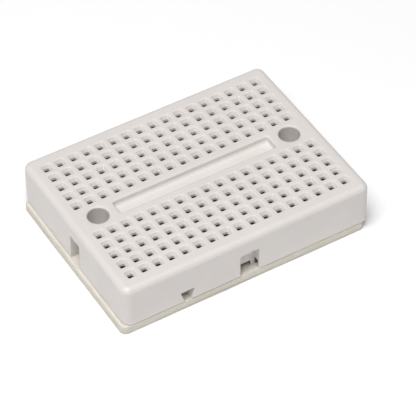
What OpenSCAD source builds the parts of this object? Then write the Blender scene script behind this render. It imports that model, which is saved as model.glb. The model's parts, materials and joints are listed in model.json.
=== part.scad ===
// Mini solderless breadboard: a moulded housing over spring contact clips,
// with a self-adhesive foam pad and a peel-off release liner underneath.
// Origin: centre of the housing's footprint, on the surface the board stands on.
// +X runs along the long side, +Y across it, +Z up. All sizes are in millimetres.

/* [Housing] */
// Length of the housing at its foot, along X
body_l = 46.8; // [46.5:0.1:52]
// Width of the housing at its foot, along Y
body_w = 34.7; // [34:0.1:38]
// Height of the housing without the foam pad
body_h = 8.1; // [7.9:0.1:11]
// How far each side wall leans in from foot to top
draft = 0.05; // [0:0.05:0.3]
// Radius of the four upright corners at the foot
corner_r = 1.5; // [1.5:0.1:3]
// Radius along the edge of the top face
top_edge_r = 1.1; // [0.3:0.1:1.1]
// Thickness of the plate above the contact cavities
plate_t = 1.2; // [1:0.1:1.4]

/* [Contact grid] */
// Distance between neighbouring contact holes
pitch = 2.54; // [2.5:0.01:2.56]
// Number of columns along X
columns = 17; // [9:2:17]
// Number of holes joined by one clip
bank_rows = 5; // [3:1:5]
// Distance between the two middle rows, across the trench
bank_gap = 7.62; // [7.2:0.01:7.8]
// Side of a contact hole's lead-in at the top face
lead_in_w = 1.7; // [1.4:0.05:1.8]
// Side of a contact hole's square throat
throat_w = 0.95; // [0.8:0.05:1.1]
// Depth of the tapered lead-in
lead_in_depth = 0.7; // [0.5:0.05:0.9]

/* [Trench and screw holes] */
// Width of the centre trench
trench_w = 2.9; // [2.4:0.1:3.4]
// Depth of the centre trench
trench_depth = 1.3; // [0.8:0.1:1.4]
// Distance between the two screw holes, along X
screw_spacing = 36.8; // [36:0.1:38]
// Diameter of the pocket for a screw head
screw_head_d = 3.6; // [3.4:0.1:4.2]
// Diameter of the clearance hole for a screw's shank
screw_hole_d = 2.2; // [2:0.1:2.4]
// Thickness of the floor under a screw head
screw_floor_t = 2.5; // [1.5:0.1:3]

/* [Interlocks] */
// Clearance around a tab in its neighbour's slot
joint_gap = 0.15; // [0.05:0.05:0.25]
// How far a tab stands out of the foot of its wall
tab_reach = 1.0; // [0.5:0.1:1.1]
// How far a tab's lower edge stays above the housing's foot
tab_lift = 0.4; // [0.3:0.1:0.8]
// Width of the slot in the middle of the long side
front_slot_w = 3.6; // [3:0.1:4]
// Depth of that slot's upper edge under the top face
front_slot_top = 3.4; // [3:0.1:4]
// Width of the slot in the short side
side_slot_w = 3.1; // [2.6:0.1:3.6]
// Depth of that slot's upper edge under the top face
side_slot_top = 2.9; // [2.5:0.1:4]
// Width of the wedge slot along its upper edge
wedge_top_w = 2.6; // [2:0.1:3]
// Width of the wedge slot at the foot
wedge_low_w = 1.2; // [0.8:0.1:1.6]
// Depth of the wedge slot's upper edge under the top face
wedge_top = 5.8; // [5:0.1:6]

/* [Contact clips] */
// Thickness of the spring strip
strip_t = 0.2; // [0.15:0.01:0.25]
// Width of a clip across its two walls
clip_w = 1.7; // [1.5:0.05:1.8]
// Height of a clip up to its flared lips
clip_h = 6.3; // [5.5:0.1:6.4]
// Width of one contact finger, along Y
finger_w = 1.7; // [1.2:0.1:2]
// Gap between two facing fingers where they grip a lead
grip_gap = 0.1; // [0.05:0.01:0.2]

/* [Foam pad and liner] */
// Thickness of the foam pad
foam_t = 1.5; // [0.8:0.1:2]
// Thickness of the release liner
liner_t = 0.15; // [0.08:0.01:0.2]
// Length of the foam pad, along X
foam_l = 46.8; // [45:0.1:47]
// Width of the foam pad, along Y
foam_w = 34.1; // [33:0.1:34.5]
// Radius of the foam pad's corners
foam_r = 1.2; // [1:0.1:3]
// How far the foam pad sits off centre, towards -X
foam_shift_x = 0.6; // [0:0.1:0.8]
// How far the foam pad sits off centre, towards -Y
foam_shift_y = 0.35; // [0:0.05:0.5]

/* [Hidden] */
foot_z = liner_t + foam_t;
top_z = foot_z + body_h;
mid_col = (columns - 1) / 2;
bank_y = bank_gap / 2 + (bank_rows - 1) * pitch / 2;
cavity_w = 2.0;
cavity_l = (bank_rows - 1) * pitch + 2.5;
cavity_h = body_h - plate_t;
clip_l = (bank_rows - 1) * pitch + 1.9;
trench_l = screw_spacing - 7;
trench_floor_r = 0.7;
trench_edge = 0.25;
screw_rim = 0.2;
front_slot_depth = 1.5;
side_slot_depth = 2.2;
wedge_depth = 1.6;
wedge_x = -11.75;
side_slot_y = -0.65;
vent_h = 1.1;            // opening from the front slot into the middle clip's cavity
relief_w = 1.4;          // pockets beside the front slot, at its back
relief_h = 1.5;
relief_l = 1.0;
corner_steps = 8;
edge_steps = 6;
eps = 0.02;

function two_digits(n) = n < 10 ? str("0", n) : str(n);
function clip_name(bank, col) = str("clip_", bank, "_", two_digits(col));
FRONT = [for (c = [1 : columns]) clip_name("front", c)];
BACK = [for (c = [1 : columns]) clip_name("back", c)];

function col_x(col) = (col - 1 - mid_col) * pitch;

// Outline of a rounded rectangle at height z, anticlockwise from above
function outline(l, w, r, steps, z) = [
    for (c = [0 : 3], k = [0 : steps])
        let (
            a = 90 * (c + k / steps),
            sx = (c == 0 || c == 3) ? 1 : -1,
            sy = c < 2 ? 1 : -1
        )
        [sx * (l / 2 - r) + r * cos(a), sy * (w / 2 - r) + r * sin(a), z]
];

function square_at(side, z) = [
    [side / 2, -side / 2, z],
    [side / 2, side / 2, z],
    [-side / 2, side / 2, z],
    [-side / 2, -side / 2, z]
];

// Solid through a stack of outlines that have the same number of points
module loft(rings) {
    n = len(rings[0]);
    last = len(rings) - 1;
    points = [for (ring = rings, p = ring) p];
    sides = [
        for (k = [0 : last - 1], i = [0 : n - 1])
            let (j = (i + 1) % n)
            [(k + 1) * n + i, (k + 1) * n + j, k * n + j, k * n + i]
    ];
    low = [for (i = [0 : n - 1]) i];
    high = [for (i = [n - 1 : -1 : 0]) last * n + i];
    polyhedron(points = points, faces = concat(sides, [low, high]));
}

// Plate with rounded corners, standing on height z
module rounded_plate(l, w, r, t, z) {
    translate([0, 0, z])
        linear_extrude(height = t)
            polygon([for (p = outline(l, w, r, corner_steps, 0)) [p[0], p[1]]]);
}

// Ring of the outer wall, moved in from the foot's outline
function wall_ring(inset, z) =
    outline(body_l - 2 * inset, body_w - 2 * inset, corner_r - inset, corner_steps, z);

module outer_block() {
    edge = [
        for (k = [0 : edge_steps])
            let (a = 90 * k / edge_steps)
            wall_ring(
                draft + top_edge_r * (1 - cos(a)),
                top_z - top_edge_r * (1 - sin(a))
            )
    ];
    loft(concat([wall_ring(0, foot_z)], edge));
}

// Tapered lead-in and square throat of one contact hole
module contact_hole() {
    rise = (lead_in_w - throat_w) / lead_in_depth * eps;
    loft([
        square_at(throat_w, -plate_t - eps),
        square_at(throat_w, -lead_in_depth),
        square_at(lead_in_w + rise, eps)
    ]);
}

module contact_holes() {
    for (col = [1 : columns], side = [-1, 1], row = [0 : bank_rows - 1])
        translate([col_x(col), side * (bank_gap / 2 + row * pitch), top_z])
            contact_hole();
}

module clip_cavities() {
    for (col = [1 : columns], side = [-1, 1])
        translate([
            col_x(col) - cavity_w / 2,
            side * bank_y - cavity_l / 2,
            foot_z - eps
        ])
            cube([cavity_w, cavity_l, cavity_h + eps]);
}

// Centre trench: a flat-bottomed groove with rounded floor corners
module trench() {
    half = trench_w / 2;
    r = trench_floor_r;
    floor_arc = [
        for (k = [0 : 4])
            let (a = 90 * k / 4)
            [half - r + r * cos(a), -trench_depth + r - r * sin(a)]
    ];
    left_arc = [for (k = [4 : -1 : 0]) [-floor_arc[k][0], floor_arc[k][1]]];
    profile = concat(
        [[half + trench_edge, eps], [half + trench_edge, 0], [half, -trench_edge]],
        floor_arc,
        left_arc,
        [[-half, -trench_edge], [-half - trench_edge, 0], [-half - trench_edge, eps]]
    );
    translate([-trench_l / 2, 0, top_z])
        rotate([90, 0, 90])
            linear_extrude(height = trench_l)
                polygon(profile);
}

// Screw-head pocket over a clearance hole, with a small rim chamfer
module screw_hole() {
    r = screw_head_d / 2;
    translate([0, 0, foot_z - 1])
        cylinder(h = screw_floor_t + 2, d = screw_hole_d, $fn = 48);
    translate([0, 0, foot_z + screw_floor_t])
        cylinder(h = body_h, d = screw_head_d, $fn = 64);
    translate([0, 0, top_z - screw_rim])
        cylinder(h = screw_rim + eps, r1 = r, r2 = r + screw_rim + eps, $fn = 64);
}

// Prism whose section is drawn in X and Z, running from y = 0 towards +Y
module prism_y(section, depth) {
    translate([0, depth, 0])
        rotate([90, 0, 0])
            linear_extrude(height = depth)
                polygon(section);
}

// Section of the wedge slot from lift above the foot, smaller all round by gap
function wedge_section(gap, lift) =
    let (
        h = body_h - wedge_top,
        slope = (wedge_top_w - wedge_low_w) / 2 / h,
        high = wedge_top_w / 2 - gap * (1 + slope),
        low = wedge_low_w / 2 - gap + slope * lift
    )
    [[-high, h - gap], [-low, lift], [low, lift], [high, h - gap]];

// Slots that take a neighbouring board's tabs, on the -Y and -X walls, open at the foot
module slots() {
    front = -body_w / 2;
    low = foot_z - eps;
    translate([-front_slot_w / 2, front - 1, low])
        cube([front_slot_w, 1 + front_slot_depth, body_h - front_slot_top + eps]);
    translate([-cavity_w / 2, front, low])
        cube([cavity_w, (body_w - bank_y * 2 - cavity_l) / 2 + 0.5, vent_h + eps]);
    translate([
        -front_slot_w / 2 - relief_w,
        front + front_slot_depth - relief_l,
        low
    ])
        cube([front_slot_w + 2 * relief_w, relief_l, relief_h + eps]);
    translate([wedge_x, front - 1, foot_z])
        prism_y(wedge_section(0, -eps), 1 + wedge_depth);
    translate([-body_l / 2 - 1, side_slot_y - side_slot_w / 2, low])
        cube([1 + side_slot_depth, side_slot_w, body_h - side_slot_top + eps]);
}

// Tabs that enter a neighbouring board's slots, on the +Y and +X walls
module tabs() {
    root = draft + 0.5;
    front_w = front_slot_w - 2 * joint_gap;
    side_w = side_slot_w - 2 * joint_gap;
    back = body_w / 2 - root;
    low = foot_z + tab_lift;
    translate([-front_w / 2, back, low])
        cube([
            front_w,
            root + tab_reach,
            body_h - front_slot_top - joint_gap - tab_lift
        ]);
    translate([wedge_x, back, foot_z])
        prism_y(wedge_section(joint_gap, tab_lift), root + tab_reach);
    translate([body_l / 2 - root, side_slot_y - side_w / 2, low])
        cube([
            root + tab_reach,
            side_w,
            body_h - side_slot_top - joint_gap - tab_lift
        ]);
}

module housing() {
    color([0.93, 0.92, 0.9])
        difference() {
            union() {
                outer_block();
                tabs();
            }
            clip_cavities();
            contact_holes();
            trench();
            for (side = [-1, 1])
                translate([side * screw_spacing / 2, 0, 0])
                    screw_hole();
            slots();
        }
}

// Cross-section of the folded strip: a channel whose walls close to a grip
// and open again into lips that guide a lead in
function half_section() =
    let (
        half = clip_w / 2,
        knee = clip_h * 0.35,
        grip = clip_h * 0.8,
        lip = half - 0.2
    )
    [
        [half, 0],
        [half, knee],
        [grip_gap / 2 + strip_t, grip],
        [lip, clip_h],
        [lip - strip_t, clip_h],
        [grip_gap / 2, grip],
        [half - strip_t, knee],
        [half - strip_t, strip_t]
    ];

module contact_clip(col, side) {
    right = half_section();
    count = len(right);
    left = [for (i = [count - 1 : -1 : 0]) [-right[i][0], right[i][1]]];
    section = concat(right, left);
    color([0.78, 0.77, 0.74])
        translate([col_x(col), side * bank_y, foot_z])
            union() {
                translate([-clip_w / 2, -clip_l / 2, 0])
                    cube([clip_w, clip_l, strip_t]);
                for (row = [0 : bank_rows - 1])
                    translate([
                        0,
                        (row - (bank_rows - 1) / 2) * pitch - finger_w / 2,
                        0
                    ])
                        prism_y(section, finger_w);
            }
}

module foam_pad() {
    color([0.93, 0.89, 0.79])
        translate([-foam_shift_x, -foam_shift_y, 0])
            rounded_plate(foam_l, foam_w, foam_r, foam_t, liner_t);
}

module release_liner() {
    color([0.86, 0.82, 0.7])
        translate([-foam_shift_x, -foam_shift_y, 0])
            rounded_plate(foam_l, foam_w, foam_r, liner_t, 0);
}

housing();
foam_pad();
release_liner();
for (c = [1 : columns]) {
    contact_clip(c, -1);
    contact_clip(c, 1);
}
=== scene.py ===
"""Looks of a mini solderless breadboard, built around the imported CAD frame.

The moulded housing, the foam pad and the release liner are rebuilt as finer meshes in the
places that the CAD nodes hold. The 34 contact clips stay CAD nodes and get a plated metal.
The housing is lofted as one shell with its holes and tabs, and then the slots are cut out of it.
Lengths are in millimetres until a mesh or an object is made, and MM turns them into metres.
"""

import json
import math

import bmesh
import bpy
from mathutils import Matrix, Quaternion, Vector, noise
from mathutils.geometry import delaunay_2d_cdt


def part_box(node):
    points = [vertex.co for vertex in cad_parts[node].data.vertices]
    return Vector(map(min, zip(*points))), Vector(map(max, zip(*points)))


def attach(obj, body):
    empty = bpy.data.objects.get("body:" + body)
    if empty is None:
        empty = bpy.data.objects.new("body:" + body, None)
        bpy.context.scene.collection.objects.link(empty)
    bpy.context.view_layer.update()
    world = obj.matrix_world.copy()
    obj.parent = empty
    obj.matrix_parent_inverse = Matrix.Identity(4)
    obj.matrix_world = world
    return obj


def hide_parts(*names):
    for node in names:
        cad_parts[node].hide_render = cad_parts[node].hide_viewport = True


MM = 0.001

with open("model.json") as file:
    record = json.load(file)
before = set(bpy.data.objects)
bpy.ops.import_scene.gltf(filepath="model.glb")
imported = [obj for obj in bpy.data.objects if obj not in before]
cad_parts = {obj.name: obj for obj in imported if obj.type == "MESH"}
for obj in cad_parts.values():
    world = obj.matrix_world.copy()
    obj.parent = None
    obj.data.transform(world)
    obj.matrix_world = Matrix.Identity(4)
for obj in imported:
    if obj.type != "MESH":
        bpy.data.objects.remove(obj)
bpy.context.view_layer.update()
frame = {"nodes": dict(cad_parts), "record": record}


# ---------------------------------------------------------------- sizes from the frame

def node_box(node):
    """A CAD node's lowest and highest corners, in millimetres."""
    low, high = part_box(node)
    return low / MM, high / MM


def clip_centres(bank):
    """Centres of one bank's clips, from -X to +X, in millimetres."""
    names = sorted(n for n in frame["nodes"] if n.startswith("clip_" + bank))
    return [sum(node_box(n), Vector()) / 2 for n in names]


HOUSING_LOW, HOUSING_HIGH = node_box("housing")
LENGTH = -2 * HOUSING_LOW.x          # the tabs are on +X and +Y, so -X and -Y are the walls
WIDTH = -2 * HOUSING_LOW.y
FOOT = HOUSING_LOW.z
TOP = HOUSING_HIGH.z
HEIGHT = TOP - FOOT
TAB_REACH = HOUSING_HIGH.x + HOUSING_LOW.x
BANKS = {"front": clip_centres("front"), "back": clip_centres("back")}
PITCH = BANKS["front"][1].x - BANKS["front"][0].x
SCREW_MOUNT = next(m for m in frame["record"]["mounts"] if m["name"] == "screw_holes")
SCREW_X = SCREW_MOUNT["dims"]["spacing_x_mm"] / 2

# ---------------------------------------------------------------- the housing's own sizes

CORNER_R = 1.5               # upright corners at the foot
LEAST_CORNER_R = 0.3
DRAFT = 0.06                 # lean of a wall from the foot to the top face
TOP_EDGE_R = 1.1
FOOT_EDGE_R = 0.2
PLATE_T = 1.2                # plate above the contact cavities

ROWS = 5
LEAD_IN = 1.7                # side of a contact hole at the top face
LEAD_IN_DEPTH = 0.7
THROAT = 0.95
HOLE_LIP_R = 0.3
THROAT_R = 0.12
HOLE_CORNER = 0.16           # a hole's corner radius, as a share of its side

CAVITY_W = 2.0
CAVITY_L = (ROWS - 1) * PITCH + 2.5
CAVITY_R = 0.15

TRENCH_L = 29.8
TRENCH_W = 2.9
TRENCH_DEPTH = 1.3
TRENCH_CORNER_R = 0.45
LEAST_TRENCH_CORNER_R = 0.12
TRENCH_LIP_R = 0.42
TRENCH_FLOOR_R = 0.8
TRENCH_END_SHARE = 0.35      # how much of the floor's rounding the two end walls have

SCREW_HEAD_R = 1.8
SCREW_HOLE_R = 1.1
SCREW_FLOOR_T = 2.5
SCREW_LIP_R = 0.35
SCREW_POCKET_FLOOR_R = 0.2
SCREW_HOLE_LIP_R = 0.08

SLOT_LIP_R = 0.1
SLOT_END_R = 0.1             # fillet around the end wall of a slot
SLOT_CORNER_R = 0.16
LEAST_SLOT_CORNER_R = 0.05
WEDGE_CORNER_R = 0.1
FRONT_SLOT = {"w": 3.6, "under_top": 3.4, "depth": 1.5, "u": 0.0}
SIDE_SLOT = {"w": 3.1, "under_top": 2.9, "depth": 2.2, "u": -0.65}
WEDGE = {"top_w": 2.6, "low_w": 1.2, "under_top": 5.8, "depth": 1.6, "u": -11.75}
JOINT_GAP = 0.15             # a tab is this much smaller all round than its slot
TAB_EDGE_R = 0.14
TAB_ROOT_R = 0.1
TAB_LIFT = 0.4               # a tab starts this far above the foot
VENT_W = 1.9                 # opening from the front slot into the middle clip's cavity
VENT_H = 1.1
RELIEF_W = 1.4               # pockets beside the front slot, at its back
RELIEF_H = 1.5
RELIEF_L = 1.0
POCKET_CORNER_R = 0.12
POCKET_OVERLAP = 0.3         # how far the vent's and pockets' cutters reach into the slot
CAVITY_OVERLAP = 0.5         # how far the vent's cutter reaches into the cavity
BEYOND = 1.0                 # how far a cutter reaches past the wall and the foot
WEDGE_BEYOND = 0.3           # the same for the wedge's cutter, at the foot
CLEAR = 0.02                 # keeps two cutters' end faces out of one plane

PAD_CORNER_R = 1.2
LEAST_PAD_CORNER_R = 0.3
FUZZ = 1.9                   # how fine the pad's and liner's edges are frayed
WELD = 0.002                 # points closer than this are joined
SHARP_ANGLE = 40             # edges that turn by more degrees than this are shaded sharp


# ---------------------------------------------------------------- mesh building

class Shell:
    """Points and faces in millimetres, welded into one closed mesh at the end."""

    def __init__(self):
        self.points = []
        self.faces = []
        self.edge_wear = []

    def add(self, points, wear=0.0):
        first = len(self.points)
        self.points += points
        self.edge_wear += [wear] * len(points)
        return range(first, len(self.points))

    def loft(self, rings, wear=None, skip=()):
        """Joins each ring to the next; a skipped side is left open for a patch."""
        ids = [self.add(r, w) for r, w in zip(rings, wear or [0.0] * len(rings))]
        count = len(rings[0])
        for low, high in zip(ids, ids[1:]):
            for i in range(count):
                if i not in skip:
                    j = (i + 1) % count
                    self.faces.append((low[i], low[j], high[j], high[i]))

    def patch(self, outer, holes, place):
        """Fills a flat anticlockwise outline that may have holes; place maps (u, v) to a point."""
        points = []
        loops = []
        for loop in [outer, *holes]:
            loops.append(range(len(points), len(points) + len(loop)))
            points += [Vector(p) for p in loop]
        triangles_inside = 1
        found, _, faces, _, _, owners = delaunay_2d_cdt(points, [], loops, triangles_inside, 1e-6)
        ids = self.add([place(u, v) for u, v in found])
        solid = [face for face, owner in zip(faces, owners) if list(owner) == [0]]
        self.faces += [tuple(ids[i] for i in face) for face in solid]

    def well(self, section, path, place):
        """Lofts section(offset) along a path of (offset, depth, wear) steps."""
        rings = [[place(u, v, depth) for u, v in section(offset)] for offset, depth, _ in path]
        self.loft(rings, [wear for _, _, wear in path])

    def mesh(self, name):
        """The welded mesh, in millimetres."""
        mesh = bpy.data.meshes.new(name)
        mesh.from_pydata(self.points, [], self.faces)
        attribute = mesh.attributes.new("edge_wear", "FLOAT", "POINT")
        attribute.data.foreach_set("value", self.edge_wear)
        work = bmesh.new()
        work.from_mesh(mesh)
        bmesh.ops.remove_doubles(work, verts=work.verts, dist=WELD)
        bmesh.ops.dissolve_degenerate(work, edges=work.edges, dist=WELD / 4)
        bmesh.ops.recalc_face_normals(work, faces=work.faces)
        work.to_mesh(mesh)
        work.free()
        return mesh


def carve(mesh, cutters):
    """Takes closed cutter meshes away from a mesh; all are in millimetres."""
    scene = bpy.context.scene
    body = bpy.data.objects.new("carved", mesh)
    tools = [bpy.data.objects.new("cutter", c) for c in cutters]
    for item in [body, *tools]:
        scene.collection.objects.link(item)
    for tool in tools:
        cut = body.modifiers.new("cut", "BOOLEAN")
        cut.operation = "DIFFERENCE"
        cut.solver = "EXACT"
        cut.object = tool
    depsgraph = bpy.context.evaluated_depsgraph_get()
    carved = bpy.data.meshes.new_from_object(body.evaluated_get(depsgraph))
    for item in [body, *tools]:
        spent = item.data
        bpy.data.objects.remove(item)
        bpy.data.meshes.remove(spent)
    return carved


def finish_piece(mesh, name, materials):
    """Turns a mesh in millimetres into an object in metres."""
    mesh.transform(Matrix.Scale(MM, 4))
    mesh.name = name
    mesh.shade_smooth()
    mesh.set_sharp_from_angle(angle=math.radians(SHARP_ANGLE))
    for material in materials:
        mesh.materials.append(material)
    piece = bpy.data.objects.new(name, mesh)
    bpy.context.scene.collection.objects.link(piece)
    normals = piece.modifiers.new("weighted_normals", "WEIGHTED_NORMAL")
    normals.keep_sharp = True
    return piece


def rounded_path(corners, steps=4):
    """Rounds a path's inner corners. A corner is (offset, depth, radius).

    The result is a list of (offset, depth, wear), from the first arc's start to the last
    end. Wear is highest in the middle of an arc.
    """
    spots = [Vector(c[:2]) for c in corners]
    path = []
    for before, here, after, corner in zip(spots, spots[1:], spots[2:], corners[1:]):
        into = (here - before).normalized()
        out = (after - here).normalized()
        turn = into.angle_signed(out)
        reach = corner[2] * math.tan(abs(turn) / 2)
        start = here - into * reach
        side = Vector((into.y, -into.x)) * math.copysign(corner[2], turn)
        centre = start + side
        for k in range(steps + 1):
            angle = -turn * k / steps
            spot = centre + Matrix.Rotation(angle, 2) @ (start - centre)
            path.append((spot.x, spot.y, math.sin(math.pi * k / steps)))
    return path


def rounded_rect(length, width, radius, steps=3, centre=(0, 0)):
    """Points of a rounded rectangle, anticlockwise from the +u +v corner."""
    points = []
    for corner, (su, sv) in enumerate([(1, 1), (-1, 1), (-1, -1), (1, -1)]):
        for k in range(steps + 1):
            angle = math.radians(90 * (corner + k / steps))
            points.append((
                centre[0] + su * (length / 2 - radius) + radius * math.cos(angle),
                centre[1] + sv * (width / 2 - radius) + radius * math.sin(angle),
            ))
    return points


def circle(radius, count=56, centre=(0, 0)):
    turn = math.tau / count
    return [
        (centre[0] + radius * math.cos(k * turn), centre[1] + radius * math.sin(k * turn))
        for k in range(count)
    ]


def rounded_polygon(corners, radius, steps=2):
    """Rounds a convex outline's corners; each gets steps + 1 points."""
    points = []
    spots = [Vector(c) for c in corners]
    for i, here in enumerate(spots):
        before = spots[i - 1]
        after = spots[(i + 1) % len(spots)]
        into = (here - before).normalized()
        out = (after - here).normalized()
        reach = radius * math.tan(into.angle(out) / 2)
        start = here - into * reach
        end = here + out * reach
        for k in range(steps + 1):
            t = k / steps
            spot = start * (1 - t) ** 2 + here * (2 * t * (1 - t)) + end * t ** 2
            points.append((spot.x, spot.y))
    return points


# ---------------------------------------------------------------- housing

def from_top(u, v, depth=0.0):
    """A point under the top face."""
    return Vector((u, v, TOP - depth))


def at_height(z):
    return lambda u, v: Vector((u, v, z))


def hole_path():
    """From the top face down a contact hole to the cavity under the plate."""
    return rounded_path([
        (LEAD_IN, 0, 0),
        (LEAD_IN / 2, 0, HOLE_LIP_R),
        (THROAT / 2, LEAD_IN_DEPTH, THROAT_R),
        (THROAT / 2, PLATE_T, 0),
    ]) + [(THROAT / 2, PLATE_T, 0.0)]


def contact_holes(shell):
    """Makes the 170 holes. Returns their loops in the top face and in each cavity's ceiling."""
    top_loops = []
    ceiling_loops = {}
    path = hole_path()
    for bank, centres in BANKS.items():
        for column, middle in enumerate(centres):
            ceiling_loops[bank, column] = []
            for row in range(ROWS):
                centre = (middle.x, middle.y + (row - (ROWS - 1) / 2) * PITCH)

                def section(offset, centre=centre):
                    return rounded_rect(2 * offset, 2 * offset, 2 * offset * HOLE_CORNER, 3, centre)

                shell.well(section, path, from_top)
                top_loops.append(section(path[0][0]))
                ceiling_loops[bank, column].append(section(path[-1][0]))
    return top_loops, ceiling_loops


def trench(shell):
    """The centre trench. Returns its loop in the top face."""
    path = rounded_path([
        (1, 0, 0),
        (0, 0, TRENCH_LIP_R),
        (0, TRENCH_DEPTH, TRENCH_FLOOR_R),
        (-1, TRENCH_DEPTH, 0),
    ], 5)

    def section(offset):
        end = offset if offset > 0 else offset * TRENCH_END_SHARE
        radius = max(TRENCH_CORNER_R + offset, LEAST_TRENCH_CORNER_R)
        return rounded_rect(TRENCH_L + 2 * end, TRENCH_W + 2 * offset, radius, 4)

    shell.well(section, path, from_top)
    shell.patch(section(path[-1][0]), [], at_height(TOP - TRENCH_DEPTH))
    return section(path[0][0])


def screw_hole(shell, x):
    """Pocket for a screw head over its clearance hole. Returns the top and bottom loops."""
    floor = HEIGHT - SCREW_FLOOR_T
    path = rounded_path([
        (SCREW_HEAD_R + 1, 0, 0),
        (SCREW_HEAD_R, 0, SCREW_LIP_R),
        (SCREW_HEAD_R, floor, SCREW_POCKET_FLOOR_R),
        (SCREW_HOLE_R, floor, SCREW_HOLE_LIP_R),
        (SCREW_HOLE_R, HEIGHT, 0),
    ]) + [(SCREW_HOLE_R, HEIGHT, 0.0)]

    def section(radius):
        return circle(radius, centre=(x, 0))

    shell.well(section, path, from_top)
    return section(path[0][0]), section(path[-1][0])


def wall_outline(offset):
    """The housing's outline, offset from the one at its foot."""
    radius = max(CORNER_R + offset, LEAST_CORNER_R)
    return rounded_rect(LENGTH + 2 * offset, WIDTH + 2 * offset, radius, 8)


WALL_PATH = rounded_path([
    (-2, 0, 0),
    (-DRAFT, 0, TOP_EDGE_R),
    (0, HEIGHT, FOOT_EDGE_R),
    (-2, HEIGHT, 0),
], 8)
BAND = len(WALL_PATH) // 2                      # the ring under the top edge's arc
BAND_TOP, BAND_FOOT = WALL_PATH[BAND - 1], WALL_PATH[BAND]
TAB_SIDES = {8, 35}                             # the outline's straight sides at +Y and +X


def wall_place(side):
    """place(u, z, depth) for one wall: u runs to the right as seen from outside, depth goes in."""
    turns = {"front": 0, "right": 90, "back": 180, "left": 270}
    turn = Matrix.Rotation(math.radians(turns[side]), 3, "Z")
    half = (WIDTH if side in ("front", "back") else LENGTH) / 2

    def place(u, z, depth=0.0, full_depth=1.0):
        share = (TOP - z - BAND_TOP[1]) / (BAND_FOOT[1] - BAND_TOP[1])
        lean = -(BAND_TOP[0] + (BAND_FOOT[0] - BAND_TOP[0]) * share)
        upright = min(1.0, abs(depth) / full_depth)
        return turn @ Vector((u, -half + lean * (1 - upright) + depth, z))

    return place


def rect_section(width, low, high, centre_u):
    """Section of a slot or tab between two heights; its offset grows it all round."""
    centre = (centre_u, (low + high) / 2)

    def section(offset):
        radius = max(SLOT_CORNER_R + offset, LEAST_SLOT_CORNER_R)
        return rounded_rect(width + 2 * offset, high - low + 2 * offset, radius, 3, centre)
    return section


def wedge_section(low, gap, u):
    """Section of the wedge slot from height low, or of its tab where gap is the clearance."""
    top = TOP - WEDGE["under_top"]
    slope = (WEDGE["top_w"] - WEDGE["low_w"]) / 2 / (top - FOOT)

    def section(offset):
        grow = offset - gap
        half_low = WEDGE["low_w"] / 2 + slope * (low - FOOT) + grow
        half_top = WEDGE["top_w"] / 2 + grow * (1 + slope)
        corners = [
            (u + half_top, top + grow),
            (u - half_top, top + grow),
            (u - half_low, low),
            (u + half_low, low),
        ]
        return rounded_polygon(corners, WEDGE_CORNER_R)
    return section


def opening(shell, section, path, place):
    """One slot or tab in a wall. Returns its loop in the wall."""
    full = abs(path[-1][1])

    def spot(u, v, depth):
        return place(u, v, depth, full)

    shell.well(section, path, spot)
    shell.patch(section(path[-1][0]), [], lambda u, v: spot(u, v, path[-1][1]))
    return section(path[0][0])


def slot_cutter(shell, side, section, depth):
    """A closed cutter for one slot, with a softly flared mouth in the wall."""
    place = wall_place(side)
    path = rounded_path([(1, 0, 0), (0, 0, SLOT_LIP_R), (0, depth, SLOT_END_R), (-1, depth, 0)], 3)
    outside = (path[0][0], -BEYOND, 0.0)
    loop = opening(shell, section, [outside, *path], place)
    shell.patch(loop, [], lambda u, v: place(u, v, -BEYOND, depth))


def notch_section(slot, u):
    """Section of a slot that is open at the foot."""
    return rect_section(slot["w"], FOOT - BEYOND, TOP - slot["under_top"], u)


def box_cutter(shell, low, high):
    """A closed box for a cutter, with its upright edges rounded."""
    middle = ((low.x + high.x) / 2, (low.y + high.y) / 2)
    loop = rounded_rect(high.x - low.x, high.y - low.y, POCKET_CORNER_R, 3, middle)
    shell.loft([[Vector((u, v, z)) for u, v in loop] for z in (low.z, high.z)])
    for z in (low.z, high.z):
        shell.patch(loop, [], at_height(z))


def pocket_boxes(overlap):
    """Lowest and highest corners of the vent behind the front slot and the pockets beside it.

    Each box reaches into the slot by overlap.
    """
    slot_back = -WIDTH / 2 + FRONT_SLOT["depth"]
    cavity_end = BANKS["front"][0].y - CAVITY_L / 2
    below = FOOT - BEYOND
    boxes = [(
        Vector((-VENT_W / 2, slot_back - overlap, below)),
        Vector((VENT_W / 2, cavity_end + CAVITY_OVERLAP, FOOT + VENT_H)),
    )]
    for side in (-1, 1):
        near = side * (FRONT_SLOT["w"] / 2 - overlap)
        far = side * (FRONT_SLOT["w"] / 2 + RELIEF_W)
        boxes.append((
            Vector((min(near, far), slot_back - RELIEF_L, below)),
            Vector((max(near, far), slot_back - CLEAR, FOOT + RELIEF_H)),
        ))
    return boxes


def slot_cutters():
    """Two meshes: the slots in the walls, and the pockets and vent behind the front slot."""
    slots = Shell()
    slot_cutter(slots, "front", notch_section(FRONT_SLOT, FRONT_SLOT["u"]), FRONT_SLOT["depth"])
    slot_cutter(slots, "front", wedge_section(FOOT - WEDGE_BEYOND, 0, WEDGE["u"]), WEDGE["depth"])
    slot_cutter(slots, "left", notch_section(SIDE_SLOT, -SIDE_SLOT["u"]), SIDE_SLOT["depth"])

    pockets = Shell()
    for low, high in pocket_boxes(POCKET_OVERLAP):
        box_cutter(pockets, low, high)
    return [slots.mesh("slots"), pockets.mesh("pockets")]


def shade_pockets(mesh):
    """Gives the faces inside the pockets and the vent the mesh's second material, whose colour is
    painted shade.
    """
    margin = 0.01
    edge = Vector((margin, margin, margin))
    boxes = [(low - edge, high + edge) for low, high in pocket_boxes(-2 * margin)]
    for face in mesh.polygons:
        if any(all(l < c < h for l, c, h in zip(low, face.center, high)) for low, high in boxes):
            face.material_index = 1


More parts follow.
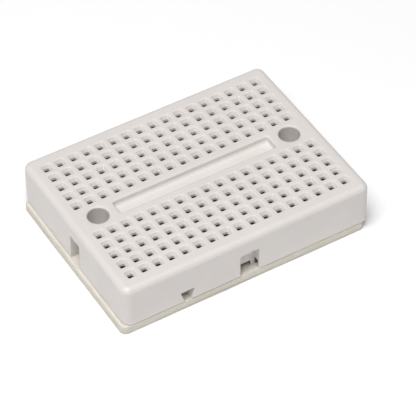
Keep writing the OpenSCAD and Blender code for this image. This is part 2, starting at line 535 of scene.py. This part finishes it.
def tab_path():
    """From the wall out to a tab's rounded end. Its depth is negative, which is outwards."""
    return [(offset, -depth, wear) for offset, depth, wear in rounded_path([
        (1, 0, 0), (0, 0, TAB_ROOT_R), (0, TAB_REACH, TAB_EDGE_R), (-1, TAB_REACH, 0)
    ], 3)]


def tab_section(slot, u):
    """Section of the tab that fits a neighbour's slot."""
    high = TOP - slot["under_top"] - JOINT_GAP
    return rect_section(slot["w"] - 2 * JOINT_GAP, FOOT + TAB_LIFT, high, u)


def walls(shell):
    """Side walls with their tabs, and the edges above and below them."""
    rings = [
        [from_top(u, v, depth) for u, v in wall_outline(offset)]
        for offset, depth, _ in WALL_PATH
    ]
    wear = [w for _, _, w in WALL_PATH]
    shell.loft(rings[:BAND], wear[:BAND])
    shell.loft(rings[BAND - 1:BAND + 1], skip=TAB_SIDES)
    shell.loft(rings[BAND:], wear[BAND:])

    wedge_tab = wedge_section(FOOT + TAB_LIFT, JOINT_GAP, -WEDGE["u"])
    tabs = {
        "back": [tab_section(FRONT_SLOT, -FRONT_SLOT["u"]), wedge_tab],
        "right": [tab_section(SIDE_SLOT, SIDE_SLOT["u"])],
    }
    for side, sections in tabs.items():
        place = wall_place(side)
        loops = [opening(shell, section, tab_path(), place) for section in sections]
        half = (LENGTH if side == "back" else WIDTH) / 2 - CORNER_R
        low = TOP - BAND_FOOT[1]
        high = TOP - BAND_TOP[1]
        outer = [(-half, low), (half, low), (half, high), (-half, high)]
        shell.patch(outer, loops, place)


def cavities(shell, ceiling_loops):
    """The 34 cavities that hold the clips. Returns their loops in the underside."""
    ceiling = TOP - PLATE_T
    loops = []
    for (bank, column), throats in ceiling_loops.items():
        middle = BANKS[bank][column]
        loop = rounded_rect(CAVITY_W, CAVITY_L, CAVITY_R, 2, (middle.x, middle.y))
        shell.loft([[Vector((u, v, z)) for u, v in loop] for z in (FOOT, ceiling)])
        shell.patch(loop, throats, at_height(ceiling))
        loops.append(loop)
    return loops


def housing(material, dim_material):
    shell = Shell()
    top_holes, ceiling_loops = contact_holes(shell)
    screw_tops, screw_feet = zip(*(screw_hole(shell, side * SCREW_X) for side in (-1, 1)))
    walls(shell)
    cavity_loops = cavities(shell, ceiling_loops)
    top_outline = wall_outline(WALL_PATH[0][0])
    foot_outline = wall_outline(WALL_PATH[-1][0])
    shell.patch(top_outline, [*top_holes, trench(shell), *screw_tops], at_height(TOP))
    shell.patch(foot_outline, [*cavity_loops, *screw_feet], at_height(FOOT))
    mesh = carve(shell.mesh("housing"), slot_cutters())
    shade_pockets(mesh)
    piece = finish_piece(mesh, "housing_shell", [material, dim_material])
    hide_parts("housing")
    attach(piece, "board")
    return piece


# ---------------------------------------------------------------- foam pad and liner

def dense_outline(low, high, inset, step=0.6):
    """A rounded rectangle between two corners, with points all along its sides."""
    length = high.x - low.x - 2 * inset
    width = high.y - low.y - 2 * inset
    middle = ((low.x + high.x) / 2, (low.y + high.y) / 2)
    corners = rounded_rect(length, width, max(PAD_CORNER_R - inset, LEAST_PAD_CORNER_R), 8, middle)
    points = []
    for here, after in zip(corners, corners[1:] + corners[:1]):
        here, after = Vector(here), Vector(after)
        parts = max(1, round((after - here).length / step))
        points += [here.lerp(after, k / parts) for k in range(parts)]
    return points


def soft_plate(name, node, thickness_path, wander, wave, material):
    """A thin plate in a CAD node's box, with a wandering cut edge.

    thickness_path is a list of (inset, share of the height), from the upper face to the
    lower one. The edge wanders by up to wander, over stretches of about wave, and is
    fuzzy by a third of that on a finer scale.
    """
    low, high = node_box(node)
    shell = Shell()
    loops = []
    for inset, share in thickness_path:
        z = high.z + (low.z - high.z) * share
        loop = []
        for p in dense_outline(low, high, wander):
            away = Vector((p.x - (low.x + high.x) / 2, p.y - (low.y + high.y) / 2)).normalized()
            drift = noise.noise(Vector((p.x / wave, p.y / wave, share * 0.35))) * wander
            fuzz = noise.noise(Vector((p.x * FUZZ, p.y * FUZZ, share * 3))) * wander * 0.35
            loop.append(Vector(p) + away * (drift + fuzz - inset))
        loops.append((loop, z))
    shell.loft([[Vector((p.x, p.y, z)) for p in loop] for loop, z in loops])
    for loop, z in (loops[0], loops[-1]):
        shell.patch([tuple(p) for p in loop], [], at_height(z))
    piece = finish_piece(shell.mesh(name), name, [material])
    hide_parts(node)
    return piece


def foam_pad(material):
    upper_edge = [(0.26, 0), (0.13, 0.04), (0.04, 0.1), (0.0, 0.2)]
    lower_edge = [(0.03, 0.5), (0.0, 0.8), (0.03, 0.94), (0.1, 1)]
    piece = soft_plate("foam_pad_cut", "foam_pad", upper_edge + lower_edge, 0.1, 5.0, material)
    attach(piece, "board")
    return piece


def release_liner(material):
    edge = [(0.02, 0), (0.0, 0.3), (0.0, 0.7), (0.02, 1)]
    piece = soft_plate("release_liner_sheet", "release_liner", edge, 0.06, 9.0, material)
    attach(piece, "liner")
    return piece


# ---------------------------------------------------------------- materials

class Surface:
    """A Principled material under construction, with textures sized in millimetres."""

    def __init__(self, name):
        self.material = bpy.data.materials.new(name)
        self.material.use_nodes = True
        self.tree = self.material.node_tree
        self.shader = self.tree.nodes["Principled BSDF"]
        self.coords = self.node("ShaderNodeTexCoord").outputs["Object"]

    def node(self, kind, **values):
        made = self.tree.nodes.new(kind)
        for key, value in values.items():
            setattr(made, key, value)
        return made

    def link(self, output, target):
        self.tree.links.new(output, target)

    def set(self, **values):
        """Sets constants on the shader; an underscore in a name stands for a space."""
        for key, value in values.items():
            self.shader.inputs[key.replace("_", " ")].default_value = value

    def noise(self, size, detail=3.0, roughness=0.5, stretch=(1, 1, 1)):
        """Noise whose features are about size millimetres across, as a 0 to 1 value."""
        mapping = self.node("ShaderNodeMapping")
        mapping.inputs["Scale"].default_value = [s / (size * MM) for s in stretch]
        self.link(self.coords, mapping.inputs["Vector"])
        texture = self.node("ShaderNodeTexNoise")
        texture.inputs["Scale"].default_value = 1.0
        texture.inputs["Detail"].default_value = detail
        texture.inputs["Roughness"].default_value = roughness
        self.link(mapping.outputs["Vector"], texture.inputs["Vector"])
        return texture.outputs["Fac"]

    def cells(self, size):
        """Distances in a pattern of cells about size millimetres across."""
        texture = self.node("ShaderNodeTexVoronoi")
        texture.inputs["Scale"].default_value = 1 / (size * MM)
        self.link(self.coords, texture.inputs["Vector"])
        return texture.outputs["Distance"]

    def attribute(self, name):
        return self.node("ShaderNodeAttribute", attribute_name=name).outputs["Fac"]

    def range(self, value, low, high, from_low=0.3, from_high=0.7):
        """Maps a texture's usual span onto low to high."""
        made = self.node("ShaderNodeMapRange")
        made.inputs["From Min"].default_value = from_low
        made.inputs["From Max"].default_value = from_high
        made.inputs["To Min"].default_value = low
        made.inputs["To Max"].default_value = high
        self.link(value, made.inputs["Value"])
        return made.outputs["Result"]

    def mix(self, share, first, second, blend="MIX"):
        """Mixes two colours; each is an RGB triple or a socket."""
        made = self.node("ShaderNodeMix", data_type="RGBA", blend_type=blend)
        self.link(share, made.inputs["Factor"])
        for colour, name in ((first, "A"), (second, "B")):
            target = next(i for i in made.inputs if i.name == name and i.type == "RGBA")
            if isinstance(colour, tuple):
                target.default_value = (*colour, 1)
            else:
                self.link(colour, target)
        return next(o for o in made.outputs if o.type == "RGBA")

    def bump(self, height, depth, strength=1.0, under=None):
        """Adds relief depth millimetres deep on top of an earlier bump."""
        made = self.node("ShaderNodeBump")
        made.inputs["Strength"].default_value = strength
        made.inputs["Distance"].default_value = depth * MM
        self.link(height, made.inputs["Height"])
        if under:
            self.link(under, made.inputs["Normal"])
        return made.outputs["Normal"]

    def colour(self, socket):
        self.link(socket, self.shader.inputs["Base Color"])

    def roughness(self, socket):
        self.link(socket, self.shader.inputs["Roughness"])

    def normal(self, socket):
        self.link(socket, self.shader.inputs["Normal"])


def dim_plastic():
    """The same white ABS in the pockets and the vent, with painted shade: its colour is darkened to
    stand in for the shade deep inside them.
    """
    s = Surface("painted_shade_abs")
    shade_mottle = s.range(s.noise(0.6, 3), 0, 1)
    # painted shade: two dark colours in place of the white ABS, mixed by random noise
    s.colour(s.mix(shade_mottle, (0.16, 0.15, 0.14), (0.24, 0.225, 0.21)))
    s.roughness(s.range(s.noise(0.4, 3), 0.7, 0.9))
    s.normal(s.bump(s.noise(0.2, 3), 0.01, 0.5))
    s.set(IOR=1.53)
    return s.material


def abs_plastic():
    """White moulded ABS: faintly mottled, eggshell gloss, softly polished along its edges."""
    s = Surface("white_abs")
    mottle = s.range(s.noise(7.0, 4), 0, 1)
    speck = s.range(s.noise(0.35, 2), 0, 1)
    base = s.mix(mottle, (0.695, 0.655, 0.627), (0.722, 0.685, 0.656))
    speckled = s.mix(s.range(speck, 0.0, 0.05, 0.55, 1.0), base, (0.55, 0.52, 0.49))
    worn = s.mix(s.range(s.attribute("edge_wear"), 0, 0.35, 0.2, 1.0), speckled, (0.755, 0.718, 0.690))
    s.colour(worn)
    s.roughness(s.range(s.noise(3.0, 5), 0.40, 0.52))
    grain = s.bump(s.noise(0.16, 3, 0.6), 0.006, 0.5)
    waves = s.bump(s.noise(5.5, 1, 0.4), 0.035, 0.5, grain)
    s.normal(waves)
    s.set(Subsurface_Weight=0.10, Subsurface_Radius=(1.0, 0.85, 0.7), Subsurface_Scale=0.0006, IOR=1.53)
    return s.material


def foam():
    """Closed-cell adhesive foam, cream, with fine cells that show on its cut edge."""
    s = Surface("cream_foam")
    mottle = s.range(s.noise(2.5, 4), 0, 1)
    base = s.mix(mottle, (0.68, 0.64, 0.575), (0.755, 0.715, 0.65))
    cells = s.cells(0.22)
    pitted = s.mix(s.range(cells, 0.0, 0.35, 0.1, 0.7), base, (0.60, 0.55, 0.47))
    s.colour(pitted)
    s.roughness(s.range(s.noise(0.8, 3), 0.72, 0.92))
    s.normal(s.bump(cells, 0.05, 0.6, s.bump(s.noise(1.2, 3), 0.08, 0.5)))
    s.set(Subsurface_Weight=0.15, Subsurface_Radius=(1.0, 0.8, 0.5), Subsurface_Scale=0.0005, IOR=1.45)
    return s.material


def waxed_paper():
    """Release paper: yellowish, smooth wax over short fibres."""
    s = Surface("waxed_paper")
    fibres = s.noise(0.5, 4, 0.6, (1, 0.25, 1))
    cloud = s.range(s.noise(4.0, 4), 0, 1)
    base = s.mix(cloud, (0.56, 0.51, 0.43), (0.63, 0.58, 0.50))
    s.colour(s.mix(s.range(fibres, 0, 0.25), base, (0.66, 0.62, 0.54)))
    s.roughness(s.range(s.noise(1.5, 3), 0.28, 0.42))
    s.normal(s.bump(fibres, 0.012, 0.5, s.bump(s.noise(6.0, 2), 0.05, 0.4)))
    s.set(Coat_Weight=0.25, Coat_Roughness=0.2, IOR=1.45)
    return s.material


def plated_strip():
    """Nickel-plated spring strip with rolling marks along its length."""
    s = Surface("plated_strip")
    rolling = s.noise(0.25, 3, 0.6, (1, 0.06, 1))
    stain = s.range(s.noise(1.8, 4), 0, 1)
    s.colour(s.mix(stain, (0.60, 0.58, 0.54), (0.72, 0.70, 0.66)))
    s.roughness(s.range(rolling, 0.24, 0.42))
    s.normal(s.bump(rolling, 0.006, 0.6))
    s.set(Metallic=1.0, Anisotropic=0.3)
    return s.material


def studio_floor():
    s = Surface("studio_floor")
    s.colour(s.mix(s.range(s.noise(60.0, 3), 0, 1), (0.95, 0.95, 0.95), (0.96, 0.96, 0.96)))
    s.roughness(s.range(s.noise(20.0, 3), 0.75, 0.85))
    s.normal(s.bump(s.noise(1.5, 2), 0.01, 0.2))
    s.set(Specular_IOR_Level=0.2)
    return s.material


# ---------------------------------------------------------------- clips

def plated_clips(material):
    """The clips stay CAD nodes: a new metal and slightly softened sheared edges."""
    for name, node in frame["nodes"].items():
        if not name.startswith("clip_"):
            continue
        node.data.materials.clear()
        node.data.materials.append(material)
        weld = node.modifiers.new("weld", "WELD")
        weld.merge_threshold = 0.001 * MM
        bevel = node.modifiers.new("sheared_edges", "BEVEL")
        bevel.width = 0.025 * MM
        bevel.segments = 2
        bevel.limit_method = "ANGLE"
        bevel.angle_limit = math.radians(30)
        bevel.harden_normals = True


# ---------------------------------------------------------------- stage, lights, camera

FLOOR_HALF = 3.0             # half the floor's side, in metres
FLOOR_GAP = 0.02

CAMERA_AIM = Vector((0.10, -3.86, 4.95))
CAMERA_AZIMUTH = -30.73
CAMERA_ELEVATION = 45.61
CAMERA_DISTANCE = 400.8
CAMERA_ROLL = -0.407
CAMERA_LENS = 209.1


def direction(azimuth, elevation):
    a = math.radians(azimuth)
    e = math.radians(elevation)
    return Vector((math.sin(a) * math.cos(e), -math.cos(a) * math.cos(e), math.sin(e)))


def studio_camera():
    data = bpy.data.cameras.new("camera")
    data.lens = CAMERA_LENS
    data.sensor_width = 36
    data.clip_start = 0.01
    camera = bpy.data.objects.new("camera", data)
    back = direction(CAMERA_AZIMUTH, CAMERA_ELEVATION)
    camera.location = (CAMERA_AIM + back * CAMERA_DISTANCE) * MM
    camera.rotation_mode = "QUATERNION"
    roll = Quaternion((0, 0, 1), math.radians(CAMERA_ROLL))
    camera.rotation_quaternion = (-back).to_track_quat("-Z", "Y") @ roll
    bpy.context.scene.collection.objects.link(camera)
    bpy.context.scene.camera = camera


def softbox(name, azimuth, elevation, distance, size, watts, colour=(1, 1, 1)):
    """A square area light that faces the object; distance and size are in metres."""
    data = bpy.data.lights.new(name, "AREA")
    data.shape = "SQUARE"
    data.size = size
    data.energy = watts
    data.color = colour
    light = bpy.data.objects.new(name, data)
    towards = direction(azimuth, elevation)
    light.location = towards * distance
    light.rotation_mode = "QUATERNION"
    light.rotation_quaternion = (-towards).to_track_quat("-Z", "Y")
    bpy.context.scene.collection.objects.link(light)


def studio():
    scene = bpy.context.scene
    scene.view_settings.view_transform = "Standard"
    scene.view_settings.look = "None"

    mesh = bpy.data.meshes.new("floor")
    work = bmesh.new()
    bmesh.ops.create_grid(work, x_segments=8, y_segments=8, size=FLOOR_HALF)
    work.to_mesh(mesh)
    work.free()
    mesh.materials.append(studio_floor())
    floor = bpy.data.objects.new("floor", mesh)
    floor.location.z = -FLOOR_GAP * MM
    scene.collection.objects.link(floor)

    world = bpy.data.worlds.new("studio_world")
    scene.world = world
    world.use_nodes = True
    background = world.node_tree.nodes["Background"]
    background.inputs["Color"].default_value = (0.97, 0.98, 1.0, 1)
    background.inputs["Strength"].default_value = 0.13

    softbox("key", -52, 71, 0.9, 0.6, 9.3)


# ---------------------------------------------------------------- the model

studio_camera()
housing(abs_plastic(), dim_plastic())
foam_pad(foam())
release_liner(waxed_paper())
plated_clips(plated_strip())
studio()
